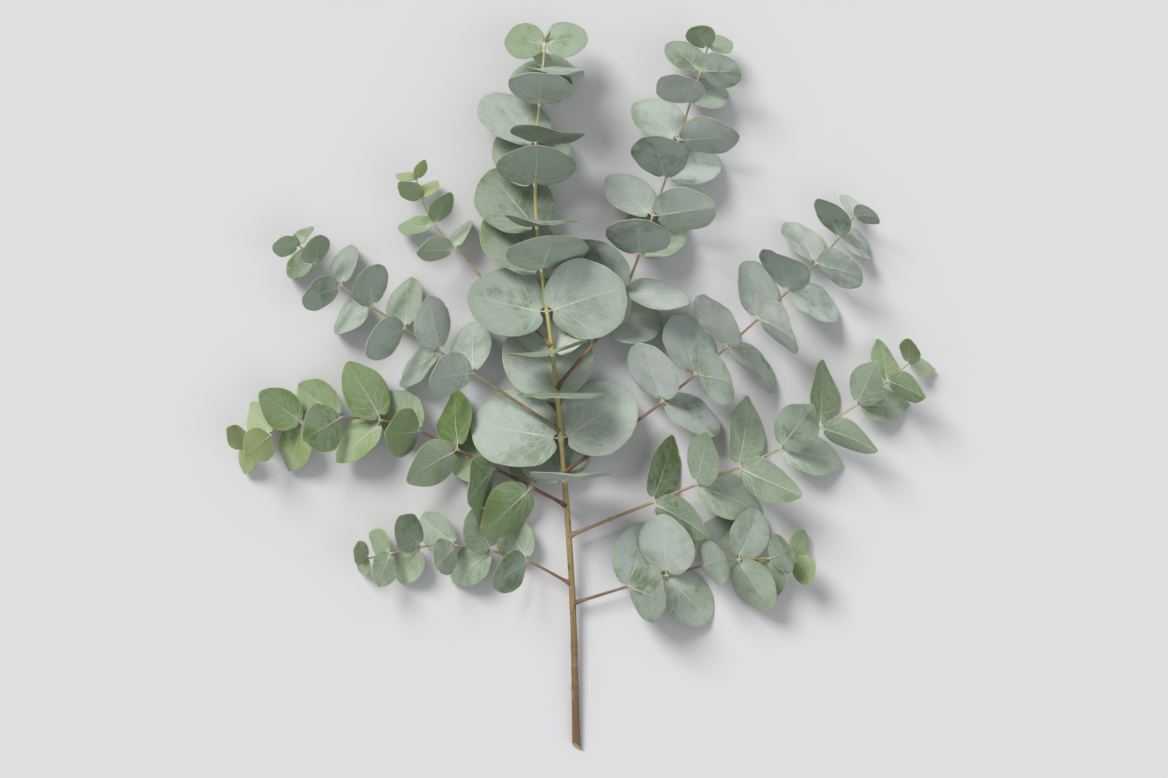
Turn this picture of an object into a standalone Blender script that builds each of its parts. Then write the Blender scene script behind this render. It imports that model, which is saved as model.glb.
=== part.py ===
"""A cut branch of silver-dollar eucalyptus, lying on a flat surface.

The frame is in metres: +Z up from the surface, +Y from the cut end to the tip of the leader,
+X to the right as seen from above. The origin is under the middle of the branch, on the surface.

One main stem runs up to the leader, and eight side shoots leave it in the axils of its leaves.
Leaves grow in opposite pairs. A pair is one object: two blades on short stalks, held by the
swollen ring of the stem joint that they grow from. The ring keeps a small gap to its stem.
The youngest pairs are still one piece with the soft tip of their stem.
"""

import math
import random

import bmesh
import bpy
from mathutils import Matrix, Vector
from mathutils.bvhtree import BVHTree

MM = 0.001
UP = Vector((0, 0, 1))

# Lengths below are in millimetres, and angles are in degrees.
SURFACE_GAP = 0.2  # the least height of a blade over the surface
ROUTE_STEPS = 40  # fine points between two points of a route
DIRECTION_REACH = 1.5  # how far each way a stem's direction is measured
DEPARTURE = 4.0  # how far along a side shoot its angle to the main stem is measured
STEM_STEP = 15.0  # distance between the points that a stem is swept through
STEM_STEPS_LEAST = 4
STEM_SIDES = 8
STEM_TAPER = 0.8  # the power of the distance that a stem's diameter falls with
STEM_GAP = 0.35  # what a ring, a blade or a side shoot keeps clear of a stem
RING_WALL = 0.8
RING_LENGTH = 3.0
RING_SIDES = 6
STALK_LENGTH = 2.4
STALK_RADII = (0.62, 0.45)
STALK_SIDES = 3
STALK_INTO_BLADE = 3.2
BLADE_HALF_THICKNESS = 0.4
SWEEP_HALF_THICKNESS = 0.9  # a thicker and larger blade, used to keep neighbours apart
SWEEP_GROWTH = 1.04
RIM_POINTS = 12
INNER_POINTS = 6
INNER_SHARE = 0.55  # of the way from the middle to the rim
INNER_HEIGHT = 0.85  # of the half thickness
TIP_INSET = 1.2  # from the youngest pair to the end of its stem
TIP_PAIRS = 2  # pairs that are one piece with the tip of their stem

# How blades differ: shares of their length, but bend, which is an angle, and width, a factor.
BLADE_RANGES = {
    "width": (0.94, 1.06),
    "middle": (0.42, 0.47),
    "cup": (-0.03, 0.08),
    "fold": (0.0, 0.05),
    "bend": (-26, 12),
    "wave": (0.004, 0.02),
}
LOBE_SHARE = 0.10  # how far the lobes beside the stalk reach back
POINTED_MIDDLE = 0.12  # how much nearer the stalk a pointed blade is widest
NOTCH_ANGLE = 0.28  # half width of the notch at the stalk, in radians

# How pairs differ, each way, and how the young ones differ from the old.
ROLL_CHANGE = 14
SPREAD_CHANGE = 9
FACE_CHANGE = 0.12
LENGTH_RANGE = (0.92, 1.05)
LEVEL_ROLL_CHANGE = 12
LEVEL_FACE = 0.75
YOUNG_SHORTER, YOUNG_SHORTER_PAIRS = 0.52, 2.0
YOUNG_CLOSER, YOUNG_CLOSER_PAIRS = 0.42, 1.2

# How a blade gives way to the surface and to its neighbours.
PUSHES = 90
PITCH_STEP, TURN_STEP = 2, 3
RIB_LEVEL = 0.04  # a rib that rises less than this is pitched up first
BLADE_LEVEL = 0.05  # a blade this flat, in radians, isn't turned any flatter
ROLL_TRIES = (0, 8, -8, 16, -16, 26, -26, 38, -38)
SPREAD_TRIES = (0, -8, 8, -16, 16, -24, 24)
FACE_TRIES = (0, 0.15, -0.15, 0.3, -0.3)
FACE_WEIGHT = 60  # the degrees that a whole turn of face counts as
SHRINKS = (1.0, 0.88, 0.88, 0.8)

# A route holds points (x, y, height) that the stem's centre line passes through, from its base.
# Each side shoot starts on the main stem's centre line, at that distance from the cut end.
# thick: diameter at the base and at the tip. pairs: how many leaf pairs, counted from the tip.
# gap: distance between old pairs. leaf: length of an old blade. aspect: width over length.
# point: how sharp the blade's tip is, from 0. roll: which way the youngest pair points, where
# 0 is level and 90 is one leaf up and one down. turn: from each pair to the next one.
# spread: angle from the stem to the blade. face: how far a blade has turned to face upwards.
# level_pairs: the pairs, counted from 0 at the tip, that lie flat on both sides of the stem.
# seed: what the shoot's small changes start from. Without it they start from the shoot's name.
SHOOTS = {
    "main": dict(
        route=[(0, 0, 2.7), (-3, 105, 10), (-12, 222, 23), (-25, 340, 27), (-19, 434, 31)],
        thick=(5.2, 1.3), pairs=12, gap=26, leaf=50, aspect=1.06, point=0.12,
        roll=84, turn=0, spread=72, face=0.12, level_pairs=(0, 7, 10),
        seed=13,
    ),
    "left_upper": dict(
        joins=251.5, route=[(-58, 292, 21), (-88, 326, 20), (-98, 352, 22)],
        thick=(1.9, 0.9), pairs=4, gap=21, leaf=27, aspect=0.76, point=0.35,
        roll=40, turn=90, spread=58, face=0.35,
    ),
    "left_middle": dict(
        joins=199.5, route=[(-52, 226, 20), (-98, 256, 18), (-148, 290, 18), (-170, 312, 20)],
        thick=(2.2, 0.9), pairs=7, gap=25, leaf=34, aspect=0.92, point=0.2,
        roll=-38, turn=88, spread=62, face=0.45,
    ),
    "left_lower": dict(
        joins=153, route=[(-54, 177, 17), (-108, 202, 17), (-158, 205, 17), (-202, 189, 16)],
        thick=(2.4, 0.9), pairs=9, gap=25.5, leaf=39, aspect=0.86, point=0.5,
        roll=30, turn=84, spread=60, face=0.55,
    ),
    "left_base": dict(
        joins=104, route=[(-36, 120, 12), (-82, 128, 14), (-128, 120, 16)],
        thick=(1.9, 0.9), pairs=6, gap=23, leaf=32, aspect=0.90, point=0.35,
        roll=42, turn=88, spread=60, face=0.5,
    ),
    "right_upper": dict(
        joins=225.5, route=[(24, 272, 23), (52, 345, 23), (70, 400, 24), (80, 432, 27)],
        thick=(2.3, 1.0), pairs=9, gap=25, leaf=40, aspect=0.98, point=0.2,
        roll=-52, turn=86, spread=64, face=0.45,
    ),
    "right_middle": dict(
        joins=173.5, route=[(50, 214, 20), (106, 262, 19), (150, 304, 19), (170, 330, 21)],
        thick=(2.3, 0.9), pairs=8, gap=26, leaf=38, aspect=1.02, point=0.08,
        roll=50, turn=90, spread=70, face=0.35,
    ),
    "right_lower": dict(
        joins=134, route=[(58, 159, 17), (118, 184, 17), (170, 213, 17), (204, 240, 18)],
        thick=(2.3, 0.9), pairs=8, gap=28.5, leaf=45, aspect=0.66, point=0.65,
        roll=-42, turn=88, spread=56, face=0.5,
    ),
    "right_base": dict(
        joins=92, route=[(44, 106, 12), (92, 118, 14), (134, 120, 16)],
        thick=(2.0, 1.0), pairs=6, gap=24, leaf=40, aspect=0.96, point=0.25,
        roll=28, turn=80, spread=62, face=0.6,
    ),
}

COLOURS = {
    "bark": ((0.36, 0.22, 0.12), 0.65),
    "young_stem": ((0.44, 0.40, 0.20), 0.5),
    "leaf": ((0.26, 0.32, 0.28), 0.6),
}


def clear_scene():
    for obj in list(bpy.data.objects):
        bpy.data.objects.remove(obj, do_unlink=True)


def make_materials():
    made = {}
    for name, (colour, roughness) in COLOURS.items():
        material = bpy.data.materials.new(name)
        material.use_nodes = True
        shader = material.node_tree.nodes["Principled BSDF"]
        shader.inputs["Base Color"].default_value = (*colour, 1)
        shader.inputs["Roughness"].default_value = roughness
        shader.inputs["Metallic"].default_value = 0
        made[name] = material
    return made


def spline_point(before, start, end, after, share):
    """Catmull-Rom between start and end."""
    return 0.5 * (
        2 * start
        + (end - before) * share
        + (2 * before - 5 * start + 4 * end - after) * share**2
        + (3 * start - before - 3 * end + after) * share**3
    )


class Stem:
    """A centre line with a place, a direction and a radius at each distance from its base."""

    def __init__(self, route, thick):
        route = [Vector(point) for point in route]
        padded = [2 * route[0] - route[1], *route, 2 * route[-1] - route[-2]]
        self.fine = [
            spline_point(*padded[i : i + 4], k / ROUTE_STEPS)
            for i in range(len(route) - 1)
            for k in range(ROUTE_STEPS)
        ]
        self.fine.append(route[-1])
        self.along = [0.0]
        for a, b in zip(self.fine, self.fine[1:]):
            self.along.append(self.along[-1] + (b - a).length)
        self.length = self.along[-1]
        self.thick = thick
        self.start = 0.0

    def at(self, distance):
        distance = min(max(distance, 0.0), self.length)
        i = next(i for i, s in enumerate(self.along[1:]) if s >= distance - 1e-9)
        span = self.along[i + 1] - self.along[i]
        return self.fine[i].lerp(self.fine[i + 1], (distance - self.along[i]) / span)

    def axes(self, distance):
        """The stem's direction, the level one across it, and the upward one."""
        ahead, behind = distance + DIRECTION_REACH, distance - DIRECTION_REACH
        along = (self.at(ahead) - self.at(behind)).normalized()
        level = along.cross(UP).normalized()
        return along, level, level.cross(along)

    def radius(self, distance):
        base, tip = self.thick
        return 0.5 * (base + (tip - base) * (distance / self.length) ** STEM_TAPER)

    def clear_of(self, parent, distance):
        """Starts this stem just off the side of its parent, which it leaves at that distance."""
        angle = self.axes(DEPARTURE)[0].angle(parent.axes(distance)[0])
        reach = parent.radius(distance) + STEM_GAP + self.radius(0) * abs(math.cos(angle))
        self.start = reach / math.sin(angle)

    def tube(self, extra=0.0):
        """Points and faces of the closed tube round the centre line."""
        steps = max(STEM_STEPS_LEAST, round((self.length - self.start) / STEM_STEP))
        points, faces = [], []
        for i in range(steps + 1):
            distance = self.start + (self.length - self.start) * i / steps
            along, level, upward = self.axes(distance)
            out = self.radius(distance) + extra
            for k in range(STEM_SIDES):
                angle = 2 * math.pi * k / STEM_SIDES
                side = math.cos(angle) * level + math.sin(angle) * upward
                points.append(self.at(distance) + out * side)
        for i in range(steps):
            for k in range(STEM_SIDES):
                a, b = STEM_SIDES * i + k, STEM_SIDES * i + (k + 1) % STEM_SIDES
                faces.append((a, b, b + STEM_SIDES, a + STEM_SIDES))
        faces.append(tuple(range(STEM_SIDES)))
        faces.append(tuple(STEM_SIDES * steps + k for k in range(STEM_SIDES)))
        return points, faces


class Leaf:
    """One blade: its outline, its curvature, and where its base and axes are."""

    def __init__(self, length, aspect, point, chance):
        def drawn(name):
            return chance.uniform(*BLADE_RANGES[name])

        self.length = length
        self.width = length * aspect * drawn("width")
        self.point = point
        self.lobe = LOBE_SHARE * length * min(1.0, aspect)
        self.middle = length * (drawn("middle") - POINTED_MIDDLE * point)
        self.cup = drawn("cup")
        self.fold = drawn("fold")
        self.bend = math.radians(drawn("bend"))
        self.wave = drawn("wave")
        self.phase = chance.uniform(0, 2 * math.pi)

    def outline(self, angle):
        """A point on the rim of the flat blade. Angle 0 is its tip, and pi is at the stalk."""
        forward = math.cos(angle)
        reach = self.length - self.middle if forward > 0 else self.middle + self.lobe
        from_base = math.pi - angle % (2 * math.pi)
        notch = math.exp(-((from_base / NOTCH_ANGLE) ** 2))
        y = self.middle + reach * forward + self.lobe * notch
        x = 0.5 * self.width * math.sin(angle) * (1 - self.point * max(forward, 0) ** 2)
        return x, y

    def place(self, x, y, lift):
        """A point of the flat blade, moved to the curved one. lift: its height off the middle."""
        across = 2 * x / self.width
        around = math.atan2(x, y - self.middle)
        out = min(1.0, math.hypot(across, 2 * (y - self.middle) / self.length))
        z = self.width * (self.cup * across**2 + self.fold * abs(across)) + lift
        z += self.wave * self.length * math.sin(3 * around + self.phase) * out**2
        turned, radius = y / self.length * self.bend, self.length / self.bend
        bent = (x, (radius - z) * math.sin(turned), radius - (radius - z) * math.cos(turned))
        return self.matrix @ Vector(bent)

    def points(self, half=BLADE_HALF_THICKNESS, grow=1.0):
        """Rim points, then the upper and the lower inner ring, then the two middle points."""
        def shrunk(share, angle, lift):
            x, y = self.outline(angle)
            return self.place(x * share, self.middle + (y - self.middle) * share, lift)

        rim = [shrunk(grow, 2 * math.pi * i / RIM_POINTS, 0) for i in range(RIM_POINTS)]
        rings = [
            shrunk(INNER_SHARE, 2 * math.pi * i / INNER_POINTS, side * INNER_HEIGHT * half)
            for side in (1, -1)
            for i in range(INNER_POINTS)
        ]
        middles = [self.place(0, self.middle, side * half) for side in (1, -1)]
        return rim + rings + middles

    def aim(self, root, radial, along, spread, face, reach):
        """Sets the blade's axes from the stem's direction and the side that it grows on."""
        spread = math.radians(spread)
        self.stalk_start = root + radial * reach
        self.rib = math.cos(spread) * along + math.sin(spread) * radial
        self.normal = math.sin(spread) * along - math.cos(spread) * radial
        self.turn_up(face * abs(self.turn_left()))

    def turn_left(self):
        """The angle round the rib to where the blade lies flattest."""
        flat = (UP - UP.dot(self.rib) * self.rib).normalized()
        angle = math.atan2(self.rib.dot(self.normal.cross(flat)), self.normal.dot(flat))
        if abs(angle) > math.pi / 2:
            angle -= math.copysign(math.pi, angle)
        return angle

    def turn_up(self, amount):
        angle = self.turn_left()
        step = math.copysign(min(amount, abs(angle)), angle)
        self.normal = Matrix.Rotation(step, 3, self.rib) @ self.normal
        self.set_matrix()

    def pitch_up(self, amount):
        turn = Matrix.Rotation(amount, 3, self.rib.cross(UP))
        self.rib, self.normal = turn @ self.rib, turn @ self.normal
        self.set_matrix()

    def set_matrix(self):
        across = self.rib.cross(self.normal)
        base = self.stalk_start + self.rib * STALK_LENGTH
        axes = Matrix((across, self.rib, self.normal)).transposed().to_4x4()
        self.matrix = Matrix.Translation(base) @ axes

    def lie_on_surface(self):
        """The surface pushes a blade that would dip into it over on its rib, and then up."""
        for _ in range(PUSHES):
            if min(point.z for point in self.points()) >= SURFACE_GAP:
                return True
            if self.rib.z < RIB_LEVEL or abs(self.turn_left()) < BLADE_LEVEL:
                self.pitch_up(math.radians(PITCH_STEP))
            else:
                self.turn_up(math.radians(TURN_STEP))
        return False


def blade_faces():
    """Triangles of the upper and the lower side, which share the rim's points."""
    upper, lower = RIM_POINTS, RIM_POINTS + INNER_POINTS
    middle = RIM_POINTS + 2 * INNER_POINTS
    faces = []
    for i in range(INNER_POINTS):
        after = (i + 1) % INNER_POINTS
        a, b, c = 2 * i, 2 * i + 1, (2 * i + 2) % RIM_POINTS
        for ring, top in ((upper, middle), (lower, middle + 1)):
            faces += [(a, b, ring + i), (b, ring + after, ring + i)]
            faces += [(b, c, ring + after), (ring + i, ring + after, top)]
    return faces


BLADE_FACES = blade_faces()


def small_changes():
    """Changes of roll, spread and face, the smallest first, for a leaf in another's way."""
    changes = [
        (roll, spread, face)
        for roll in ROLL_TRIES
        for spread in SPREAD_TRIES
        for face in FACE_TRIES
    ]
    return sorted(changes, key=lambda c: abs(c[0]) + abs(c[1]) + FACE_WEIGHT * abs(c[2]))


CHANGES = small_changes()


def settle(leaf, root, axes, roll, spread, face, reach, taken):
    """Turns the leaf as little as it takes to clear the surface and what is already there."""
    along, level, upward = axes
    for shrink in SHRINKS:
        leaf.length, leaf.width = leaf.length * shrink, leaf.width * shrink
        for more_roll, more_spread, more_face in CHANGES:
            angle = math.radians(roll + more_roll)
            radial = math.cos(angle) * level + math.sin(angle) * upward
            turned = min(1.0, max(0.0, face + more_face))
            leaf.aim(root, radial, along, spread + more_spread, turned, reach)
            if not leaf.lie_on_surface():
                continue
            swept = leaf.points(SWEEP_HALF_THICKNESS, SWEEP_GROWTH)
            shell = BVHTree.FromPolygons(swept, BLADE_FACES)
            if not any(shell.overlap(other) for other in taken):
                return shell
    print("a leaf has no room")
    return shell


def grow_shoot(name, stem, shoot, taken):
    """The leaf pairs of a shoot, from the youngest to the oldest: (distance, two leaves)."""
    chance = random.Random(shoot.get("seed", name))
    distance = stem.length - TIP_INSET
    pairs = []
    for k in range(shoot["pairs"]):
        root, axes = stem.at(distance), stem.axes(distance)
        bore = (stem.radius(distance) + STEM_GAP) / math.cos(math.pi / RING_SIDES)
        reach = 0.0 if k < TIP_PAIRS else bore + RING_WALL / 2
        young = math.exp(-k / YOUNG_SHORTER_PAIRS)
        roll = shoot["roll"] + shoot["turn"] * k + chance.uniform(-ROLL_CHANGE, ROLL_CHANGE)
        face = shoot["face"]
        if k in shoot.get("level_pairs", ()):
            roll, face = chance.uniform(-LEVEL_ROLL_CHANGE, LEVEL_ROLL_CHANGE), LEVEL_FACE
        leaves = []
        for side in (0, 180):
            length = shoot["leaf"] * (1 - YOUNG_SHORTER * young) * chance.uniform(*LENGTH_RANGE)
            leaf = Leaf(length, shoot["aspect"], shoot["point"], chance)
            spread = shoot["spread"] + chance.uniform(-SPREAD_CHANGE, SPREAD_CHANGE)
            turned = face + chance.uniform(-FACE_CHANGE, FACE_CHANGE)
            taken.append(settle(leaf, root, axes, roll + side, spread, turned, reach, taken))
            leaves.append(leaf)
        pairs.append((distance, leaves))
        distance -= shoot["gap"] * (1 - YOUNG_CLOSER * math.exp(-k / YOUNG_CLOSER_PAIRS))
    return pairs


def lay_out():
    """Every shoot's stem and leaf pairs: name, stem, pairs."""
    main = Stem(SHOOTS["main"]["route"], SHOOTS["main"]["thick"])
    stems = {"main": main}
    for name, shoot in SHOOTS.items():
        if name == "main":
            continue
        stems[name] = Stem([main.at(shoot["joins"]), *shoot["route"]], shoot["thick"])
        stems[name].clear_of(main, shoot["joins"])
    taken = [BVHTree.FromPolygons(*stem.tube(STEM_GAP + RING_WALL)) for stem in stems.values()]
    return [
        (name, stem, grow_shoot(name, stem, SHOOTS[name], taken)) for name, stem in stems.items()
    ]


def object_from(name, points, faces):
    mesh = bpy.data.meshes.new(name)
    mesh.from_pydata([tuple(point * MM) for point in points], [], faces)
    made = bmesh.new()
    made.from_mesh(mesh)
    bmesh.ops.recalc_face_normals(made, faces=made.faces)
    made.to_mesh(mesh)
    made.free()
    return linked(name, mesh)


def linked(name, mesh):
    obj = bpy.data.objects.new(name, mesh)
    bpy.context.scene.collection.objects.link(obj)
    return obj


def blade_and_stalk(leaf):
    end = leaf.place(0, STALK_INTO_BLADE, 0)
    run = end - leaf.stalk_start
    made = bmesh.new()
    turn = run.to_track_quat("Z", "Y").to_matrix().to_4x4()
    bmesh.ops.create_cone(
        made, cap_ends=True, segments=STALK_SIDES, depth=run.length * MM,
        radius1=STALK_RADII[0] * MM, radius2=STALK_RADII[1] * MM,
        matrix=Matrix.Translation((leaf.stalk_start + end) / 2 * MM) @ turn,
    )
    mesh = bpy.data.meshes.new("stalk")
    made.to_mesh(mesh)
    made.free()
    return [linked("stalk", mesh), object_from("blade", leaf.points(), BLADE_FACES)]


def joint_ring(stem, distance, leaf):
    """The swollen stem joint: a short tube round the stem, with a corner under each stalk."""
    along = stem.axes(distance)[0]
    level = (leaf.stalk_start - stem.at(distance)).normalized()
    upward = level.cross(along)
    bore = (stem.radius(distance) + STEM_GAP) / math.cos(math.pi / RING_SIDES)
    section = [(bore, -RING_LENGTH / 2), (bore + RING_WALL, 0), (bore, RING_LENGTH / 2)]
    points, faces = [], []
    for k in range(RING_SIDES):
        angle = 2 * math.pi * k / RING_SIDES
        side = math.cos(angle) * level + math.sin(angle) * upward
        points += [stem.at(distance) + side * out + along * height for out, height in section]
        here, after = 3 * k, 3 * ((k + 1) % RING_SIDES)
        faces += [(here + j, here + (j + 1) % 3, after + (j + 1) % 3, after + j) for j in range(3)]
    return object_from("ring", points, faces)


def united(name, objects, material):
    """One object whose mesh is the union of these, which are then removed."""
    first = objects[0]
    for other in objects[1:]:
        union = first.modifiers.new("union", "BOOLEAN")
        union.operation = "UNION"
        union.solver = "EXACT"
        union.object = other
    bpy.context.view_layer.update()
    graph = bpy.context.evaluated_depsgraph_get()
    mesh = bpy.data.meshes.new_from_object(first.evaluated_get(graph))
    for used in objects:
        bpy.data.objects.remove(used, do_unlink=True)
    mesh.name = name
    mesh.materials.clear()
    mesh.materials.append(material)
    return linked(name, mesh)


def build_shoot(name, stem, pairs, materials):
    tip = [object_from("stem", *stem.tube())]
    for _, leaves in pairs[:TIP_PAIRS]:
        tip += blade_and_stalk(leaves[0]) + blade_and_stalk(leaves[1])
    united(f"{name}_stem", tip, materials["bark" if name == "main" else "young_stem"])
    for number, (distance, leaves) in enumerate(reversed(pairs[TIP_PAIRS:]), 1):
        pieces = [joint_ring(stem, distance, leaves[0])]
        pieces += blade_and_stalk(leaves[0]) + blade_and_stalk(leaves[1])
        united(f"{name}_leaf_pair_{number}", pieces, materials["leaf"])


def middle_of(layout):
    """The point on the surface under the middle of the branch's box."""
    points = []
    for _, stem, pairs in layout:
        points += stem.tube()[0]
        points += [point for _, leaves in pairs for leaf in leaves for point in leaf.points()]
    low = [min(point[axis] for point in points) for axis in range(3)]
    high = [max(point[axis] for point in points) for axis in range(3)]
    return Vector(((low[0] + high[0]) / 2, (low[1] + high[1]) / 2, low[2]))


def main():
    clear_scene()
    materials = make_materials()
    layout = lay_out()
    for name, stem, pairs in layout:
        build_shoot(name, stem, pairs, materials)
    shift = -middle_of(layout) * MM
    for obj in bpy.context.scene.objects:
        obj.location = shift


main()
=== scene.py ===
import math
import random

import bmesh
import bpy
from mathutils import Matrix, Vector
from mathutils.bvhtree import BVHTree


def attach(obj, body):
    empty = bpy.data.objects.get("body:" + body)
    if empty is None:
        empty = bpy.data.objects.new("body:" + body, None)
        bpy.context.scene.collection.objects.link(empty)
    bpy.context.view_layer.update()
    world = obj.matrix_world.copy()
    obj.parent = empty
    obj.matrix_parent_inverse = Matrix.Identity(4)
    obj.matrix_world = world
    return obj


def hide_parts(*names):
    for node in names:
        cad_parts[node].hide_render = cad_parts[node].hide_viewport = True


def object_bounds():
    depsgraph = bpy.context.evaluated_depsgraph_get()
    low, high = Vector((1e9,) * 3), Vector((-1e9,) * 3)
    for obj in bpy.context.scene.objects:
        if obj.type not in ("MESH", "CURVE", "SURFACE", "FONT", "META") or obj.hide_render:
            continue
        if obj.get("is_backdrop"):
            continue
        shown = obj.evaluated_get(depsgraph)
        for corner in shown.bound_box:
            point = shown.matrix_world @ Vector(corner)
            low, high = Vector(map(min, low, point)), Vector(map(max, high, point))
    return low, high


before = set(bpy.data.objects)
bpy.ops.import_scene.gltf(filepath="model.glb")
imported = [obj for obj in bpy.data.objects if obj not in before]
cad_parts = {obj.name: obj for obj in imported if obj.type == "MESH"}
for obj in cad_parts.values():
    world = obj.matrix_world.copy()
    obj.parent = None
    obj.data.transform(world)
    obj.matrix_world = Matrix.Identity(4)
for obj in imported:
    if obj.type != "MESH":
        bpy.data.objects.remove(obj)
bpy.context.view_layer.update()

# A cut eucalyptus branch that lies on a pale surface. The frame holds its stems and leaf pairs as
# plain solids. The same rules of growth are followed here, so that every fine leaf, stalk and
# stem lies where its solid is. Lengths are in millimetres until toRow() puts them in the frame.

mm = 0.001
up = Vector((0, 0, 1))

growth = dict(
    surfaceGap=0.2,  # least height of a blade over the surface
    routeSteps=40,  # straight steps between two points of a route
    reach=1.5,  # how far to each side of a place its direction is taken
    departure=4,  # where a side shoot's direction is taken, for its start
    taper=0.8, stemStep=15.0, stemSides=8, stemGap=0.35, ringWall=0.8, ringSides=6,
    stalkLength=2.4, halfThickness=0.4, sweepHalfThickness=0.9, sweepGrowth=1.04,
    rimPoints=12, innerPoints=6, innerShare=0.55, innerLift=0.85, tipInset=1.2,
    tipPairs=2,  # pairs that belong to the tip of their stem
    youngPairs=1.3,  # over how many pairs a shoot's leaves lose their youth
)

# route: points (x, y, height) of the centre line. joins: distance up the main stem.
# thick: diameters at base and tip. roll, turn, spread and face: how the pairs are set.
# bark: old and young colour. green: 0 is blue-grey with bloom, 1 is fresh green.
# frost: how much whiter than usual the bloom is. tender: how much fresher the young leaves are.
shoots = {
    "main": dict(
        route=[(0, 0, 2.7), (-3, 105, 10), (-12, 222, 23), (-25, 340, 27), (-19, 434, 31)],
        thick=(5.2, 1.3), pairs=12, gap=26, leaf=50, aspect=1.06, point=0.12,
        roll=84, turn=0, spread=72, face=0.12, levelPairs=(0, 7, 10), seed=13,
        bark=((0.17, 0.095, 0.045), (0.60, 0.54, 0.20)), green=0.22, frost=0.12, tender=0.35,
    ),
    "left_upper": dict(
        joins=251.5, route=[(-58, 292, 21), (-88, 326, 20), (-98, 352, 22)],
        thick=(1.9, 0.9), pairs=4, gap=21, leaf=27, aspect=0.76, point=0.35,
        roll=40, turn=90, spread=58, face=0.35,
        bark=((0.22, 0.15, 0.07), (0.40, 0.36, 0.16)), green=0.55, frost=0, tender=0.9,
    ),
    "left_middle": dict(
        joins=199.5, route=[(-52, 226, 20), (-98, 256, 18), (-148, 290, 18), (-170, 312, 20)],
        thick=(2.2, 0.9), pairs=7, gap=25, leaf=34, aspect=0.92, point=0.2,
        roll=-38, turn=88, spread=62, face=0.45,
        bark=((0.20, 0.14, 0.07), (0.34, 0.34, 0.14)), green=0.12, frost=0.25, tender=0.7,
    ),
    "left_lower": dict(
        joins=153, route=[(-54, 177, 17), (-108, 202, 17), (-158, 205, 17), (-202, 189, 16)],
        thick=(2.4, 0.9), pairs=9, gap=25.5, leaf=39, aspect=0.86, point=0.5,
        roll=30, turn=84, spread=60, face=0.55,
        bark=((0.13, 0.055, 0.035), (0.26, 0.13, 0.08)), green=0.72, frost=0, tender=1,
    ),
    "left_base": dict(
        joins=104, route=[(-36, 120, 12), (-82, 128, 14), (-128, 120, 16)],
        thick=(1.9, 0.9), pairs=6, gap=23, leaf=32, aspect=0.90, point=0.35,
        roll=42, turn=88, spread=60, face=0.5,
        bark=((0.19, 0.10, 0.055), (0.36, 0.27, 0.13)), green=0.35, frost=0.1, tender=0.8,
    ),
    "right_upper": dict(
        joins=225.5, route=[(24, 272, 23), (52, 345, 23), (70, 400, 24), (80, 432, 27)],
        thick=(2.3, 1.0), pairs=9, gap=25, leaf=40, aspect=0.98, point=0.2,
        roll=-52, turn=86, spread=64, face=0.45,
        bark=((0.22, 0.12, 0.06), (0.42, 0.32, 0.15)), green=0.15, frost=0.3, tender=0.6,
    ),
    "right_middle": dict(
        joins=173.5, route=[(50, 214, 20), (106, 262, 19), (150, 304, 19), (170, 330, 21)],
        thick=(2.3, 0.9), pairs=8, gap=26, leaf=38, aspect=1.02, point=0.08,
        roll=50, turn=90, spread=70, face=0.35,
        bark=((0.18, 0.10, 0.06), (0.33, 0.22, 0.13)), green=0.02, frost=0.6, tender=0.35,
    ),
    "right_lower": dict(
        joins=134, route=[(58, 159, 17), (118, 184, 17), (170, 213, 17), (204, 240, 18)],
        thick=(2.3, 0.9), pairs=8, gap=28.5, leaf=45, aspect=0.66, point=0.65,
        roll=-42, turn=88, spread=56, face=0.5,
        bark=((0.30, 0.21, 0.11), (0.50, 0.42, 0.22)), green=0.42, frost=0.1, tender=0.8,
    ),
    "right_base": dict(
        joins=92, route=[(44, 106, 12), (92, 118, 14), (134, 120, 16)],
        thick=(2.0, 1.0), pairs=6, gap=24, leaf=40, aspect=0.96, point=0.25,
        roll=28, turn=80, spread=62, face=0.6,
        bark=((0.18, 0.10, 0.055), (0.34, 0.24, 0.12)), green=0.22, frost=0.25, tender=0.9,
    ),
}


def splinePoint(before, start, end, after, share):
    return 0.5 * (
        2 * start
        + (end - before) * share
        + (2 * before - 5 * start + 4 * end - after) * share**2
        + (3 * start - before - 3 * end + after) * share**3
    )


def bump(distance, width):
    # 1 at distance 0, and falling smoothly to 0 over the width
    return math.exp(-((distance / width) ** 2))


def within(value, low=0.0):
    return min(1.0, max(low, value))


def aroundStem(angle, level, upward):
    return math.cos(angle) * level + math.sin(angle) * upward


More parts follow.
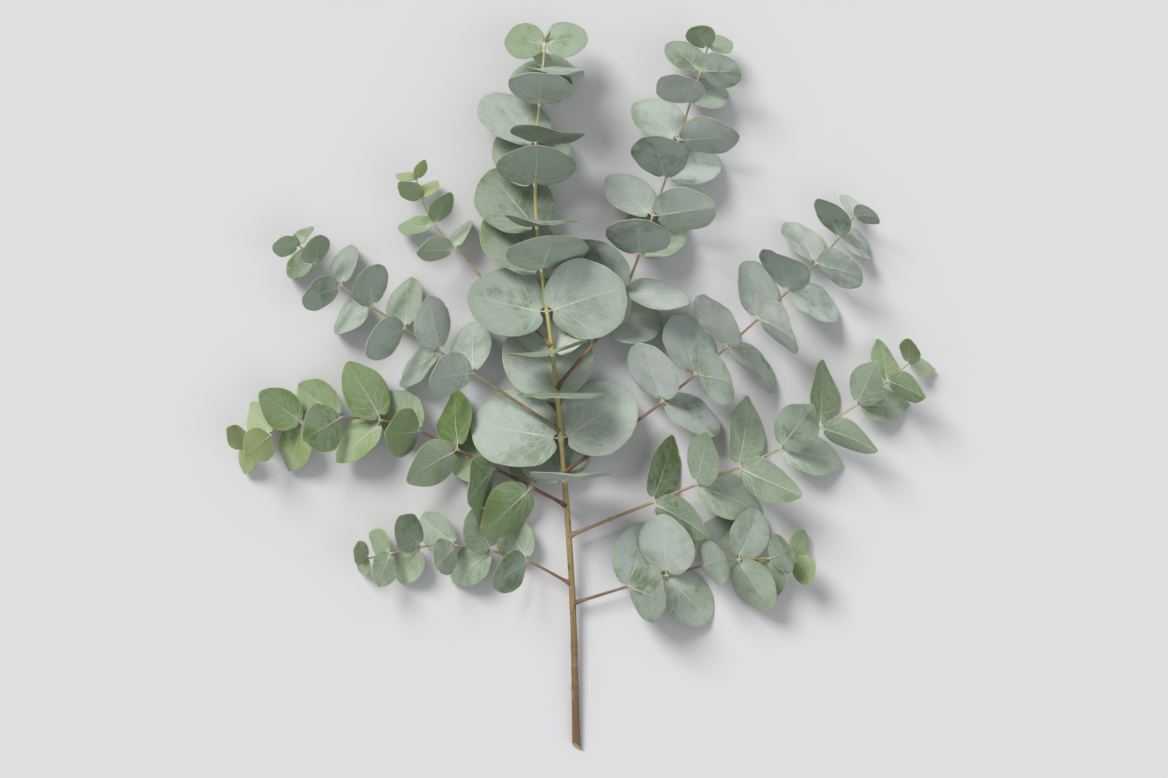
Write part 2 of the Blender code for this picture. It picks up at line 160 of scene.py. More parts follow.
class Stem:
    # a centre line with a place, a direction and a radius at each distance from its base

    def __init__(self, route, thick):
        route = [Vector(point) for point in route]
        padded = [2 * route[0] - route[1], *route, 2 * route[-1] - route[-2]]
        self.fine = [
            splinePoint(*padded[i : i + 4], k / growth["routeSteps"])
            for i in range(len(route) - 1)
            for k in range(growth["routeSteps"])
        ]
        self.fine.append(route[-1])
        self.along = [0.0]
        for a, b in zip(self.fine, self.fine[1:]):
            self.along.append(self.along[-1] + (b - a).length)
        self.length = self.along[-1]
        self.thick = thick
        self.start = 0.0

    def at(self, distance):
        distance = min(max(distance, 0.0), self.length)
        i = next(i for i, s in enumerate(self.along[1:]) if s >= distance - 1e-9)
        span = self.along[i + 1] - self.along[i]
        return self.fine[i].lerp(self.fine[i + 1], (distance - self.along[i]) / span)

    def axes(self, distance):
        reach = growth["reach"]
        along = (self.at(distance + reach) - self.at(distance - reach)).normalized()
        level = along.cross(up).normalized()
        return along, level, level.cross(along)

    def radius(self, distance):
        base, tip = self.thick
        return 0.5 * (base + (tip - base) * (distance / self.length) ** growth["taper"])

    def clearOf(self, parent, distance):
        angle = self.axes(growth["departure"])[0].angle(parent.axes(distance)[0])
        reach = parent.radius(distance) + growth["stemGap"] + self.radius(0) * abs(math.cos(angle))
        self.start = reach / math.sin(angle)

    def tube(self, extra=0.0):
        sides = growth["stemSides"]
        steps = max(4, round((self.length - self.start) / growth["stemStep"]))
        points, faces = [], []
        for i in range(steps + 1):
            distance = self.start + (self.length - self.start) * i / steps
            _, level, upward = self.axes(distance)
            out = self.radius(distance) + extra
            for k in range(sides):
                side = aroundStem(math.tau * k / sides, level, upward)
                points.append(self.at(distance) + out * side)
        for i in range(steps):
            for k in range(sides):
                a, b = sides * i + k, sides * i + (k + 1) % sides
                faces.append((a, b, b + sides, a + sides))
        faces.append(tuple(range(sides)))
        faces.append(tuple(sides * steps + k for k in range(sides)))
        return points, faces


settling = dict(  # how a leaf finds its place; steps are in degrees
    tries=90, lowRib=0.04, flatEnough=0.05, pitchStep=2, turnStep=3,
    rolls=(0, 8, -8, 16, -16, 26, -26, 38, -38), spreads=(0, -8, 8, -16, 16, -24, 24),
    faces=(0, 0.15, -0.15, 0.3, -0.3), faceWeight=60, shrinks=(1.0, 0.88, 0.88, 0.8),
)
bladeRanges = dict(  # drawn once for a blade, in this order
    width=(0.94, 1.06), middle=(0.42, 0.47), cup=(-0.03, 0.08), fold=(0.0, 0.05),
    bend=(-26, 12), wave=(0.004, 0.02), phase=(0, math.tau),
)
bladeForm = dict(
    lobe=0.10, notch=0.28, waves=3,
    lower=0.12,  # how much a pointed tip moves the widest place down
)


class Leaf:
    # one blade: its outline, its curvature, and where its base and axes are

    def __init__(self, length, aspect, point, chance):
        self.length = length
        drawn = {key: chance.uniform(*span) for key, span in bladeRanges.items()}
        self.width = length * aspect * drawn["width"]
        self.point = point
        self.lobe = bladeForm["lobe"] * length * min(1.0, aspect)
        self.middle = length * (drawn["middle"] - bladeForm["lower"] * point)
        self.cup, self.fold, self.bend = drawn["cup"], drawn["fold"], math.radians(drawn["bend"])
        self.wave, self.phase = drawn["wave"], drawn["phase"]

    def outline(self, angle):
        # angle 0 is the tip, and pi is at the stalk
        forward = math.cos(angle)
        reach = self.length - self.middle if forward > 0 else self.middle + self.lobe
        fromBase = math.pi - angle % math.tau
        y = self.middle + reach * forward + self.lobe * bump(fromBase, bladeForm["notch"])
        x = 0.5 * self.width * math.sin(angle) * (1 - self.point * max(forward, 0) ** 2)
        return x, y

    def place(self, x, y, lift):
        # a point of the flat blade, moved to the curved one
        across = 2 * x / self.width
        around = math.atan2(x, y - self.middle)
        out = min(1.0, math.hypot(across, 2 * (y - self.middle) / self.length))
        z = self.width * (self.cup * across**2 + self.fold * abs(across)) + lift
        z += self.wave * self.length * math.sin(bladeForm["waves"] * around + self.phase) * out**2
        turned, radius = y / self.length * self.bend, self.length / self.bend
        bent = (x, (radius - z) * math.sin(turned), radius - (radius - z) * math.cos(turned))
        return self.matrix @ Vector(bent)

    def points(self, half=growth["halfThickness"], grow=1.0):
        def shrunk(share, angle, lift):
            x, y = self.outline(angle)
            return self.place(x * share, self.middle + (y - self.middle) * share, lift)

        rimPoints, innerPoints = growth["rimPoints"], growth["innerPoints"]
        rim = [shrunk(grow, math.tau * i / rimPoints, 0) for i in range(rimPoints)]
        share, lift = growth["innerShare"], growth["innerLift"] * half
        rings = [
            shrunk(share, math.tau * i / innerPoints, side * lift)
            for side in (1, -1)
            for i in range(innerPoints)
        ]
        middles = [self.place(0, self.middle, side * half) for side in (1, -1)]
        return rim + rings + middles

    def aim(self, root, radial, along, spread, face, reach):
        spread = math.radians(spread)
        self.root = root
        self.stalkStart = root + radial * reach
        self.rib = math.cos(spread) * along + math.sin(spread) * radial
        self.normal = math.sin(spread) * along - math.cos(spread) * radial
        self.turnUp(face * abs(self.turnLeft()))

    def turnLeft(self):
        # the angle round the rib to where the blade lies flattest
        flat = (up - up.dot(self.rib) * self.rib).normalized()
        angle = math.atan2(self.rib.dot(self.normal.cross(flat)), self.normal.dot(flat))
        if abs(angle) > math.pi / 2:
            angle -= math.copysign(math.pi, angle)
        return angle

    def turnUp(self, amount):
        angle = self.turnLeft()
        step = math.copysign(min(amount, abs(angle)), angle)
        self.normal = Matrix.Rotation(step, 3, self.rib) @ self.normal
        self.setMatrix()

    def pitchUp(self, amount):
        turn = Matrix.Rotation(amount, 3, self.rib.cross(up))
        self.rib, self.normal = turn @ self.rib, turn @ self.normal
        self.setMatrix()

    def setMatrix(self):
        across = self.rib.cross(self.normal)
        base = self.stalkStart + self.rib * growth["stalkLength"]
        axes = Matrix((across, self.rib, self.normal)).transposed().to_4x4()
        self.matrix = Matrix.Translation(base) @ axes

    def lieOnSurface(self):
        # turns or lifts the blade a little at a time until it clears the surface
        for _ in range(settling["tries"]):
            if min(point.z for point in self.points()) >= growth["surfaceGap"]:
                return True
            if self.rib.z < settling["lowRib"] or abs(self.turnLeft()) < settling["flatEnough"]:
                self.pitchUp(math.radians(settling["pitchStep"]))
            else:
                self.turnUp(math.radians(settling["turnStep"]))
        return False


def bladeFaces():
    rimPoints, innerPoints = growth["rimPoints"], growth["innerPoints"]
    upper, lower, middle = rimPoints, rimPoints + innerPoints, rimPoints + 2 * innerPoints
    faces = []
    for i in range(innerPoints):
        after = (i + 1) % innerPoints
        a, b, c = 2 * i, 2 * i + 1, (2 * i + 2) % rimPoints
        for ring, top in ((upper, middle), (lower, middle + 1)):
            faces += [(a, b, ring + i), (b, ring + after, ring + i)]
            faces += [(b, c, ring + after), (ring + i, ring + after, top)]
    return faces


def smallChanges():
    # changes of roll, spread and face, the smallest first, for a leaf in another's way
    changes = [
        (roll, spread, face)
        for roll in settling["rolls"]
        for spread in settling["spreads"]
        for face in settling["faces"]
    ]
    weight = settling["faceWeight"]
    return sorted(changes, key=lambda c: abs(c[0]) + abs(c[1]) + weight * abs(c[2]))


shellFaces = bladeFaces()
leafChanges = smallChanges()


def settle(leaf, root, axes, roll, spread, face, reach, taken):
    # turns the leaf as little as it takes to clear the surface and its neighbours
    along, level, upward = axes
    for shrink in settling["shrinks"]:
        leaf.length, leaf.width = leaf.length * shrink, leaf.width * shrink
        for moreRoll, moreSpread, moreFace in leafChanges:
            radial = aroundStem(math.radians(roll + moreRoll), level, upward)
            leaf.aim(root, radial, along, spread + moreSpread, within(face + moreFace), reach)
            if not leaf.lieOnSurface():
                continue
            swept = leaf.points(growth["sweepHalfThickness"], growth["sweepGrowth"])
            shell = BVHTree.FromPolygons(swept, shellFaces)
            if not any(shell.overlap(other) for other in taken):
                return shell
    return shell


pairNature = dict(  # how pairs differ along a shoot; angles are in degrees
    roll=(-14, 14), levelRoll=(-12, 12), levelFace=0.75,
    size=(0.92, 1.05), spread=(-9, 9), face=(-0.12, 0.12),
    youngSize=(0.52, 2.0),  # how much smaller the youngest is, and over how many pairs
    youngGap=(0.42, 1.2),
)


def growShoot(name, stem, shoot, taken):
    # leaf pairs from the youngest to the oldest: (distance, two leaves)
    chance = random.Random(shoot.get("seed", name))
    nature = pairNature
    smaller, pairsSmaller = nature["youngSize"]
    closer, pairsCloser = nature["youngGap"]
    distance = stem.length - growth["tipInset"]
    pairs = []
    for k in range(shoot["pairs"]):
        root, axes = stem.at(distance), stem.axes(distance)
        bore = (stem.radius(distance) + growth["stemGap"]) / math.cos(math.pi / growth["ringSides"])
        reach = 0.0 if k < growth["tipPairs"] else bore + growth["ringWall"] / 2
        roll = shoot["roll"] + shoot["turn"] * k + chance.uniform(*nature["roll"])
        face = shoot["face"]
        if k in shoot.get("levelPairs", ()):
            roll, face = chance.uniform(*nature["levelRoll"]), nature["levelFace"]
        leaves = []
        for side in (0, 180):
            grown = 1 - smaller * math.exp(-k / pairsSmaller)
            length = shoot["leaf"] * grown * chance.uniform(*nature["size"])
            leaf = Leaf(length, shoot["aspect"], shoot["point"], chance)
            spread = shoot["spread"] + chance.uniform(*nature["spread"])
            turned = face + chance.uniform(*nature["face"])
            taken.append(settle(leaf, root, axes, roll + side, spread, turned, reach, taken))
            leaves.append(leaf)
        pairs.append((distance, leaves))
        distance -= shoot["gap"] * (1 - closer * math.exp(-k / pairsCloser))
    return pairs


def layOut():
    main = Stem(shoots["main"]["route"], shoots["main"]["thick"])
    stems = {"main": main}
    for name, shoot in shoots.items():
        if name == "main":
            continue
        stems[name] = Stem([main.at(shoot["joins"]), *shoot["route"]], shoot["thick"])
        stems[name].clearOf(main, shoot["joins"])
    extra = growth["stemGap"] + growth["ringWall"]
    taken = [BVHTree.FromPolygons(*stem.tube(extra)) for stem in stems.values()]
    return [(name, stem, growShoot(name, stem, shoots[name], taken)) for name, stem in stems.items()]


def middleOf(plan):
    points = []
    for _, stem, pairs in plan:
        points += stem.tube()[0]
        points += [point for _, leaves in pairs for leaf in leaves for point in leaf.points()]
    low = [min(point[axis] for point in points) for axis in range(3)]
    high = [max(point[axis] for point in points) for axis in range(3)]
    return Vector(((low[0] + high[0]) / 2, (low[1] + high[1]) / 2, low[2]))


plan = layOut()
rowMiddle = middleOf(plan)
print("laid out", sum(len(pairs) for _, _, pairs in plan), "leaf pairs on", len(plan), "stems")


def toRow(point):
    return (point - rowMiddle) * mm


def operators(operation):
    # arithmetic on a wire, and the same with the wire on the right
    return (
        lambda wire, other: wire.maths(operation, wire, other),
        lambda wire, other: wire.maths(operation, other, wire),
    )


class Wire:
    # one output of a shader node; arithmetic on it adds Math nodes

    def __init__(self, socket):
        self.socket = socket

    def node(self, kind, settings=None, inputs=None, output=0):
        tree = self.socket.id_data
        made = tree.nodes.new(kind)
        for key, value in (settings or {}).items():
            setattr(made, key, value)
        for key, value in (inputs or {}).items():
            if isinstance(value, Wire):
                tree.links.new(value.socket, made.inputs[key])
            else:
                made.inputs[key].default_value = value
        return Wire(made.outputs[output])

    def maths(self, operation, first, second=0.0):
        return self.node("ShaderNodeMath", {"operation": operation}, {0: first, 1: second})

    __add__, __radd__ = operators("ADD")
    __sub__, __rsub__ = operators("SUBTRACT")
    __mul__, __rmul__ = operators("MULTIPLY")
    __truediv__, __rtruediv__ = operators("DIVIDE")

    def __abs__(self):
        return self.maths("ABSOLUTE", self)

    def fraction(self):
        return self.maths("FRACT", self)

    def clamped(self):
        return self.node("ShaderNodeClamp", None, {"Value": self})

    def ramp(self, low, high):
        # 0 below low, 1 above high, and smooth between them
        settings = {"interpolation_type": "SMOOTHSTEP"}
        inputs = {"Value": self, "From Min": low, "From Max": high}
        return self.node("ShaderNodeMapRange", settings, inputs)

    def blend(self, low, high):
        # a colour: low where this is 0, and high where it is 1
        ends = {6: low, 7: high}
        ends = {key: value if isinstance(value, Wire) else (*value, 1) for key, value in ends.items()}
        return self.node("ShaderNodeMix", {"data_type": "RGBA"}, {0: self, **ends}, 2)

    def noise(self, scale, detail=3.0, roughness=0.55):
        inputs = {"Vector": self, "Scale": scale, "Detail": detail, "Roughness": roughness}
        return self.node("ShaderNodeTexNoise", None, inputs)

    def cells(self, scale, feature="F1"):
        return self.node("ShaderNodeTexVoronoi", {"feature": feature}, {"Vector": self, "Scale": scale})

    def attribute(self, name, output):
        return self.node("ShaderNodeAttribute", {"attribute_name": name}, output=output)

    def parts(self):
        split = self.node("ShaderNodeSeparateXYZ", None, {0: self})
        return [Wire(output) for output in split.socket.node.outputs]

    def times(self, factors):
        return self.node("ShaderNodeVectorMath", {"operation": "MULTIPLY"}, {0: self, 1: factors})


def weighted(wires, weights):
    # the sum of the wires, each times its weight
    return sum((wires[key] * weight for key, weight in weights.items()), 0.0)


def newMaterial(name, roughness, specular=0.5):
    material = bpy.data.materials.new(name)
    material.use_nodes = True
    tree = material.node_tree
    shader = tree.nodes["Principled BSDF"]
    shader.inputs["Roughness"].default_value = roughness
    shader.inputs["Specular IOR Level"].default_value = specular
    place = Wire(tree.nodes.new("ShaderNodeTexCoord").outputs["Object"])
    return material, shader, place


def feed(shader, socket, wire):
    shader.id_data.links.new(wire.socket, shader.inputs[socket])


def feedBump(shader, height, strength, distance):
    inputs = {"Height": height, "Strength": strength, "Distance": distance}
    feed(shader, "Normal", height.node("ShaderNodeBump", None, inputs))


bladeFinish = dict(
    blueBloom=(0.43, 0.49, 0.455),  # the wax of a blue-grey blade
    greenBloom=(0.36, 0.43, 0.315),  # thinner wax, with the green showing through
    deep=(0.095, 0.145, 0.06),  # an old blade where the wax is rubbed off
    fresh=(0.21, 0.32, 0.075),  # a young blade
    tender=(0.37, 0.44, 0.18),  # the youngest
    frost=(0.60, 0.645, 0.635),  # the thickest wax
    vein=(0.60, 0.655, 0.56), paleMargin=(0.60, 0.62, 0.38), redMargin=(0.44, 0.29, 0.20),
    speck=(0.09, 0.075, 0.035),
    dimmed=(0.58, 0.64, 0.60),  # a blade that has greyed, times this
    veins=9.0,  # side veins up each half
    # how much each kind of vein shows in the colour, and stands up
    veinShow=dict(midrib=0.6, side=0.56, ray=0.66, faded=0.14, net=0.09, hoop=0.14, halo=0.45),
    veinRelief=dict(midrib=0.6, side=0.55, ray=0.4, fine=0.12, net=0.14, hoop=0.15),
    # how fine each pattern is: a larger number is a smaller pattern
    scale=dict(
        wander=110, net=500, blotches=48, mottle=210, scratches=260, dust=900, frost=70,
        margin=60, specks=170, speckPatches=38, skin=700, sheen=400,
    ),
    reliefDepth=0.00035,
)


def teeth(wave, low):
    # pale lines where the wave passes a whole number
    return abs(wave.fraction() * 2.0 - 1.0).ramp(low, 1.0)


def bladeVeins(place, half, along, fromBase, rim):
    # side veins fan out from the midrib, and the lowest run back into the lobes
    veins, scale = bladeFinish["veins"], bladeFinish["scale"]
    wander = place.noise(scale["wander"], 2.0) - 0.5
    rise = along - half * 0.12 - half * half * 0.5
    start = rise.maths("MAXIMUM", rise, 0.0) / (half * 2.4 + 1.0)
    start = start + rise.maths("MINIMUM", rise, 0.0) / (half * 4.0 + 0.06) + wander * 0.03
    fade = 1.0 - fromBase.ramp(0.12, 0.85) * 0.72
    ribWidth = 0.021 - along * 0.017
    turn = half.maths("ARCTAN2", half, along + 0.03)
    fine = teeth(start * veins * 4.0 + wander * 0.8, 0.7)
    return {
        "midrib": (1.0 - (half / ribWidth).ramp(0.35, 1.0)) * (1.0 - along.ramp(0.80, 1.0)),
        "side": teeth(start * veins, 0.86) * fade,
        "ray": teeth(turn * 2.7 + wander * 0.5, 0.72) * (1.0 - fromBase.ramp(0.10, 0.44)),
        "fine": fine,
        "faded": fine * fade,
        "net": 1.0 - place.cells(scale["net"], "DISTANCE_TO_EDGE").ramp(0.0, 0.12),
        "hoop": 1.0 - (abs(rim - 0.915 - wander * 0.03) / 0.012).ramp(0.3, 1.0),
        "halo": 1.0 - fromBase.ramp(0.0, 0.17),
    }


def bladeMaterial():
    finish, scale = bladeFinish, bladeFinish["scale"]
    material, shader, place = newMaterial("leafBlade", 0.5, 0.35)
    across, along, _ = place.node("ShaderNodeUVMap", {"uv_map": "blade"}).parts()
    half = abs(across - 0.5)
    rim = place.attribute("rim", "Fac")
    youth, wax, shade = place.attribute("nature", "Color").parts()
    frost = place.attribute("nature", "Alpha")
    hue = (shade * 7.3).fraction()
    fromBase = along * along + half * half
    fromBase = fromBase.maths("SQRT", fromBase)
    vein = bladeVeins(place, half, along, fromBase, rim)
    # wax: thin at the margin, rubbed off in blotches and scratches
    blotch = place.noise(scale["blotches"], 5.0, 0.62).ramp(0.48, 0.66) * (shade * 0.55 + 0.24)
    mottle = place.noise(scale["mottle"], 3.0, 0.6) - 0.5
    scratch = place.times((1.0, 0.35, 1.0)).noise(scale["scratches"], 4.0, 0.7).ramp(0.58, 0.74)
    dust = place.noise(scale["dust"], 2.0) - 0.5
    edge = rim.ramp(0.80, 1.0)
    cover = wax - blotch - scratch * 0.26 - edge * 0.16 + vein["side"] * 0.10 + vein["halo"] * 0.2
    cover = (cover + mottle * 0.34 + dust * 0.22).clamped()
    green = (youth + edge * 0.25).clamped().blend(finish["deep"], finish["fresh"])
    green = youth.ramp(0.72, 1.0).blend(green, finish["tender"])
    bloom = (hue * 0.4 + youth * 0.9).clamped().blend(finish["blueBloom"], finish["greenBloom"])
    patch = place.noise(scale["frost"], 3.0) + 0.4
    bloom = (frost * patch).clamped().blend(bloom, finish["frost"])
    tone = cover.blend(green, bloom)
    veinShow = weighted(vein, finish["veinShow"]).clamped()
    tone = (veinShow * (wax * 0.5 + 0.5)).blend(tone, finish["vein"])
    margin = hue.ramp(0.5, 0.85).blend(finish["paleMargin"], finish["redMargin"])
    patch = place.noise(scale["margin"], 2.0).ramp(0.3, 0.65)
    tone = (rim.ramp(0.974, 0.994) * (patch * 0.38 + 0.10)).blend(tone, margin)
    patch = place.noise(scale["speckPatches"], 2.0).ramp(0.56, 0.66)
    spotted = (1.0 - place.cells(scale["specks"]).ramp(0.05, 0.13)) * patch
    tone = (spotted * 0.65).blend(tone, finish["speck"])
    dim = (shade * 0.9).blend((1.0, 1.0, 1.0), finish["dimmed"])
    settings = {"data_type": "RGBA", "blend_type": "MULTIPLY"}
    tone = tone.node("ShaderNodeMix", settings, {0: 1.0, 6: tone, 7: dim}, 2)
    feed(shader, "Base Color", tone)
    sheen = place.noise(scale["sheen"], 2.0) - 0.5
    feed(shader, "Roughness", cover * 0.20 + 0.42 + sheen * 0.12)
    relief = weighted(vein, finish["veinRelief"]) + place.noise(scale["skin"], 3.0) * 0.2
    feedBump(shader, relief, 0.6, finish["reliefDepth"])
    return material


barkFinish = dict(
    wax=(0.42, 0.43, 0.37), pore=(0.42, 0.34, 0.22), joint=(0.55, 0.56, 0.42),
    scar=(0.40, 0.33, 0.24), scarRim=(0.08, 0.05, 0.03),
    crack=0.5,  # the old colour times this
    flush=(0.72, 0.50, 0.42),  # the young colour times this, on one flank: partly a real reddening, partly painted shade, which on the main stem darkens the flank away from the light
    reliefDepth=0.00022,
)


def barkMaterial(name, old, young):
    finish = barkFinish
    material, shader, place = newMaterial(name, 0.55, 0.4)
    bark = place.attribute("bark", "Vector")
    age, joint, scar = (place.attribute(name, "Fac") for name in ("grown", "joint", "scar"))
    streak = bark.times((1.6, 1.6, 0.35)).noise(2.6, 5.0, 0.65)
    fine = bark.times((5.0, 5.0, 0.8)).noise(4.0, 4.0, 0.7)
    pores = 1.0 - bark.times((1.1, 1.1, 3.4)).cells(1.0).ramp(0.09, 0.17)
    tone = (age * 1.5 - 0.12 + (streak - 0.5) * 0.9).clamped().blend(old, young)
    cracked = [part * finish["crack"] for part in old]
    tone = (fine.ramp(0.50, 0.70) * (0.6 - age * 0.45)).blend(tone, cracked)
    # one flank of each stem turns redder and darker: partly a real reddening, partly painted shade on
    # the main stem's flank away from the light
    flushedShadeSide = [part * share for part, share in zip(young, finish["flush"])]
    tone = (bark.parts()[0].ramp(0.0, 0.75) * age * (streak * 0.9 + 0.1)).blend(tone, flushedShadeSide)
    wax = place.noise(130, 4.0, 0.65).ramp(0.50, 0.68) * (1.0 - age * 0.4)
    tone = (wax * 0.30).blend(tone, finish["wax"])
    tone = (pores * 0.35).blend(tone, finish["pore"])
    tone = (joint * 0.6).blend(tone, finish["joint"])
    tone = (scar.ramp(0.5, 0.75) * 0.6).blend(tone, finish["scar"])
    rimmed = scar.ramp(0.25, 0.45) * (1.0 - scar.ramp(0.55, 0.75))
    tone = (rimmed * 0.6).blend(tone, finish["scarRim"])
    feed(shader, "Base Color", tone)
    feed(shader, "Roughness", 0.48 + wax * 0.2 + (fine - 0.5) * 0.15)
    feedBump(shader, streak * 0.7 + fine * 0.6 + pores * 0.5 + scar * 0.4, 0.7, finish["reliefDepth"])
    return material


# grain: how fine, detailed and rough the pattern is, or how fine its crumbs are.
# spread: where the pattern goes from the first colour to the second. shine: roughness, specular.
smallFinishes = dict(
    leafStalk=dict(
        grain=(500, 3.0), spread=(0.35, 0.7), shine=(0.5, 0.4), relief=0.3,
        colours=((0.50, 0.55, 0.34), (0.61, 0.63, 0.50)), flush=(0.40, 0.20, 0.11),
    ),
    axilBud=dict(
        grain=(900, 3.0), spread=(0.4, 0.65), shine=(0.55, 0.4), relief=0.5,
        colours=((0.30, 0.17, 0.08), (0.40, 0.38, 0.18)),
    ),
    cutWood=dict(
        grain=(2600, 4.0, 0.7), spread=(0.3, 0.75), shine=(0.7, 0.3), relief=0.5,
        colours=((0.62, 0.52, 0.33), (0.44, 0.33, 0.17)),
    ),
    pith=dict(
        crumbs=5200, spread=(0.1, 0.6), shine=(0.85, 0.2), relief=0.5,
        colours=((0.36, 0.22, 0.11), (0.55, 0.40, 0.22)),
    ),
)


def smallMaterial(name):
    facts = smallFinishes[name]
    material, shader, place = newMaterial(name, *facts["shine"])
    pattern = place.cells(facts["crumbs"]) if "crumbs" in facts else place.noise(*facts["grain"])
    tone = pattern.ramp(*facts["spread"]).blend(*facts["colours"])
    if "flush" in facts:
        tone = (place.noise(70, 2.0).ramp(0.55, 0.7) * 0.35).blend(tone, facts["flush"])
    feed(shader, "Base Color", tone)
    feedBump(shader, pattern, facts["relief"], 0.0001)
    return material


finishes = {name: smallMaterial(name) for name in smallFinishes}
finishes["leafBlade"] = bladeMaterial()
for shootName, shootFacts in shoots.items():
    finishes[shootName] = barkMaterial(shootName + "Bark", *shootFacts["bark"])
print("finishes ready:", len(finishes))


def addObject(name, data):
    made = bpy.data.objects.new(name, data)
    bpy.context.scene.collection.objects.link(made)
    return made


def startPiece(*pieces):
    # only these pieces are selected, and the first of them is active
    bpy.ops.object.select_all(action="DESELECT")
    for piece in pieces:
        piece.select_set(True)
    if pieces:
        bpy.context.view_layer.objects.active = pieces[0]


def chooseFaces(obj, wanted):
    bpy.ops.mesh.select_all(action="DESELECT")
    shape = bmesh.from_edit_mesh(obj.data)
    for face in shape.faces:
        if wanted(face):
            face.select_set(True)
    bmesh.update_edit_mesh(obj.data)


bladeShape = dict(
    around=60, insets=(0.014, 0.034, 0.055, 0.08, 0.10, 0.11, 0.115, 0.115, 0.115, 0.11),
    tinyAround=20, tinyInsets=(0.06, 0.24, 0.35),  # for the leaves of a growing tip
    thickness=0.38,
    notch=0.15, notchDepth=0.8,  # how wide the notch at the stalk is, and how deep
    trim=0.982,  # how large a fine blade is in its solid
    crowding=0.42,  # how much closer the points are set near the stalk
    lowest=0.35,  # least height over the surface
)
tubeShape = dict(stem=(14, 200), stalk=(8, 14))  # sides and rings
budShape = dict(
    narrowing=0.55, width=0.45, foot=0.9,
    lean=(0.8, 0.6),  # along the stem, and away from it
    seat=(0.85, 0.9),
    axil=(0.5, 1.15), dormant=(0.4, 0.8),  # sizes in a leaf axil and at a scar
    dormantShare=0.75,
    oldest=0.9,  # how young a pair may be to have buds
)


def modelFlatBlade(around, insets):
    # a round sheet of rings, with its middle closed to one point
    startPiece()
    bpy.ops.mesh.primitive_circle_add(vertices=around, radius=1, fill_type="NGON")
    sheet = bpy.context.object
    bpy.ops.object.mode_set(mode="EDIT")
    bpy.ops.mesh.select_all(action="SELECT")
    for inset in insets:
        bpy.ops.mesh.inset(thickness=inset)
    bpy.ops.mesh.poke()
    bpy.ops.object.mode_set(mode="OBJECT")
    return sheet


def modelTube(sides, rings):
    # an upright tube of radius 1 and height 1, closed at both ends
    startPiece()
    step = 1 / rings
    bpy.ops.mesh.primitive_cylinder_add(vertices=sides, radius=1, depth=step, location=(0, 0, step / 2))
    bpy.ops.object.transform_apply(location=True)
    tube = bpy.context.object
    bpy.ops.object.mode_set(mode="EDIT")
    chooseFaces(tube, lambda face: face.normal.z > 0.9)
    for _ in range(rings - 1):
        bpy.ops.mesh.extrude_region_move(TRANSFORM_OT_translate={"value": (0, 0, step)})
    bpy.ops.object.mode_set(mode="OBJECT")
    return tube


def modelBud():
    # a small ovoid with a drawn-out tip
    startPiece()
    bpy.ops.mesh.primitive_uv_sphere_add(segments=8, ring_count=6, radius=1)
    bud = bpy.context.object
    for vertex in bud.data.vertices:
        x, y, z = vertex.co
        wide = budShape["width"] * (1 - budShape["narrowing"] * max(z, 0))
        vertex.co = (x * wide, y * wide, z + budShape["foot"])
    return bud


flatBlade = modelFlatBlade(bladeShape["around"], bladeShape["insets"])
tinyBlade = modelFlatBlade(bladeShape["tinyAround"], bladeShape["tinyInsets"])
stemTube = modelTube(*tubeShape["stem"])
stalkTube = modelTube(*tubeShape["stalk"])
plainBud = modelBud()
print("shapes modelled, the blade with", len(flatBlade.data.vertices), "points")


def wrapped(name, shape, move, material, lowest=0.0):
    # a copy of the shape with its own mesh, each point moved by move(point), none below the surface
    mesh = shape.data.copy()
    mesh.name = name
    for layer in list(mesh.uv_layers):
        mesh.uv_layers.remove(layer)
    for vertex in mesh.vertices:
        spot = toRow(move(vertex.co))
        vertex.co = (spot.x, spot.y, max(spot.z, lowest * mm))
    mesh.materials.clear()
    mesh.materials.append(material)
    for polygon in mesh.polygons:
        polygon.use_smooth = True
    return addObject(name, mesh)


def addNumbers(piece, name, kind, values):
    layer = piece.data.attributes.new(name, kind, "POINT")
    field = {"FLOAT": "value", "FLOAT_VECTOR": "vector", "FLOAT_COLOR": "color"}[kind]
    for item, value in zip(layer.data, values):
        setattr(item, field, value)


def joined(name, pieces):
    startPiece(*pieces)
    bpy.ops.object.join()
    whole = bpy.context.object
    whole.name = name
    whole.data.name = name
    return whole


bladeWhims = dict(  # what is drawn once for a fine blade
    rimWave=(0.24, 0.52), rimCount=(4, 5, 6), edgeSize=(0.005, 0.014),
    lobeCurl=(-0.008, 0.014), biteShare=0.14, biteReach=2.1,
)
bladeDetail = dict(
    fullSize=30,  # a shorter blade has smaller waves and grooves
    edgeWaves=(5, 11), ripple=(0.35, 2.3),
    bite=(0.06, 0.085), groove=(0.16, 0.9),  # depth and width
    lobe=(0.75, 0.4),  # where the lobes curl, and over what angle
)
bladeColour = dict(
    youth=(0.62, 0.15),  # how much a young blade freshens, and the chance part
    wax=(1.04, 0.62, 0.28),  # at most, and how much green and young blades lose
    waxChance=(-0.26, 0.12), leastWax=0.14,
    worn=(0.12, 0.3),  # share of blades that lost much of their wax, and how much
    frost=(0.2, 0.25), shade=(0.75, 1.4),
)


def drawWhims(chance):
    facts = bladeWhims
    reach = facts["biteReach"]
    return {
        "rimWave": chance.uniform(*facts["rimWave"]),
        "rimCount": chance.choice(facts["rimCount"]),
        "rimPhase": chance.uniform(0, math.tau),
        "edgePhase": chance.uniform(0, math.tau),
        "edgeSize": chance.uniform(*facts["edgeSize"]),
        "lobeCurl": (chance.uniform(*facts["lobeCurl"]), chance.uniform(*facts["lobeCurl"])),
        "bite": chance.uniform(-reach, reach) if chance.random() < facts["biteShare"] else None,
    }


